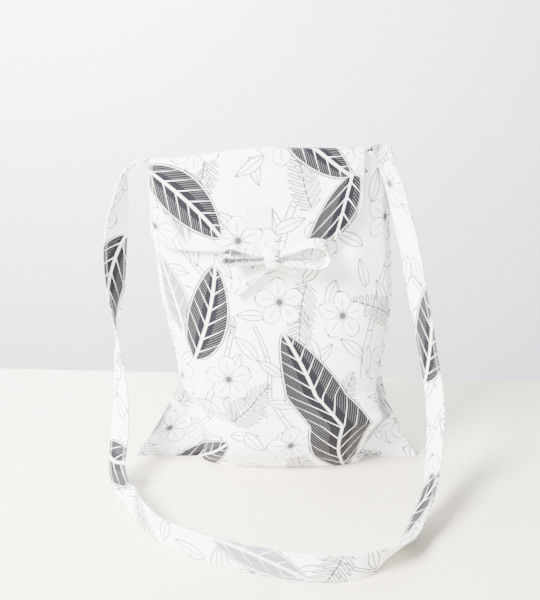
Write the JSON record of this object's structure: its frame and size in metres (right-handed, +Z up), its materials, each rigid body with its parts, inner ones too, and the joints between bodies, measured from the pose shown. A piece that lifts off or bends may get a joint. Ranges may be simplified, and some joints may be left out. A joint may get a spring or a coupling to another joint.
{
  "type": "slouchy fabric shoulder bag",
  "caption": "Soft fabric shoulder bag with a lined body, a front flap that ties shut with a bow, and a long flat shoulder strap.",
  "frame": {"origin": "on the table, under the middle of the bag, in the bag's flat underside", "axes": "+Z up, -Y out of the front of the bag, +X to the right as one looks at the front"},
  "size_m": [0.3142, 0.2516, 0.3179],
  "materials": {
    "printed_canvas": "matte printed cotton canvas",
    "lining_cotton": "plain unbleached cotton",
    "label_tape": "smooth white woven tape, bare",
    "tie_canvas": "matte cotton canvas, folded and stitched",
    "strap_canvas": "matte printed cotton canvas, folded and stitched"
  },
  "bodies": {
    "bag": {"front_panel": "printed_canvas", "back_panel": "printed_canvas", "front_lining": "lining_cotton", "back_lining": "lining_cotton", "panel_tie_root": "tie_canvas", "strap_end_left": "strap_canvas", "strap_end_right": "strap_canvas"},
    "flap": {"flap_outer": "printed_canvas", "flap_lining": "lining_cotton", "label": "label_tape", "flap_tie_root": "tie_canvas", "bow_knot": "tie_canvas", "bow_loop_left": "tie_canvas", "bow_loop_right": "tie_canvas", "bow_tail_left": "tie_canvas", "bow_tail_right": "tie_canvas"},
    "strap": {"shoulder_strap": "strap_canvas"}
  },
  "joints": [
    {"name": "flap_hinge", "type": "hinge", "parent": "bag", "child": "flap", "pos_m": [-0.0195, 0.022, 0.3093], "axis": [-1, 0, 0], "range_deg": [0, 165]},
    {"name": "strap_swing", "type": "hinge", "parent": "bag", "child": "strap", "pos_m": [-0.12712, 0, 0.299], "axis": [-0.998, 0, -0.0629], "range_deg": [0, 160]}
  ]
}
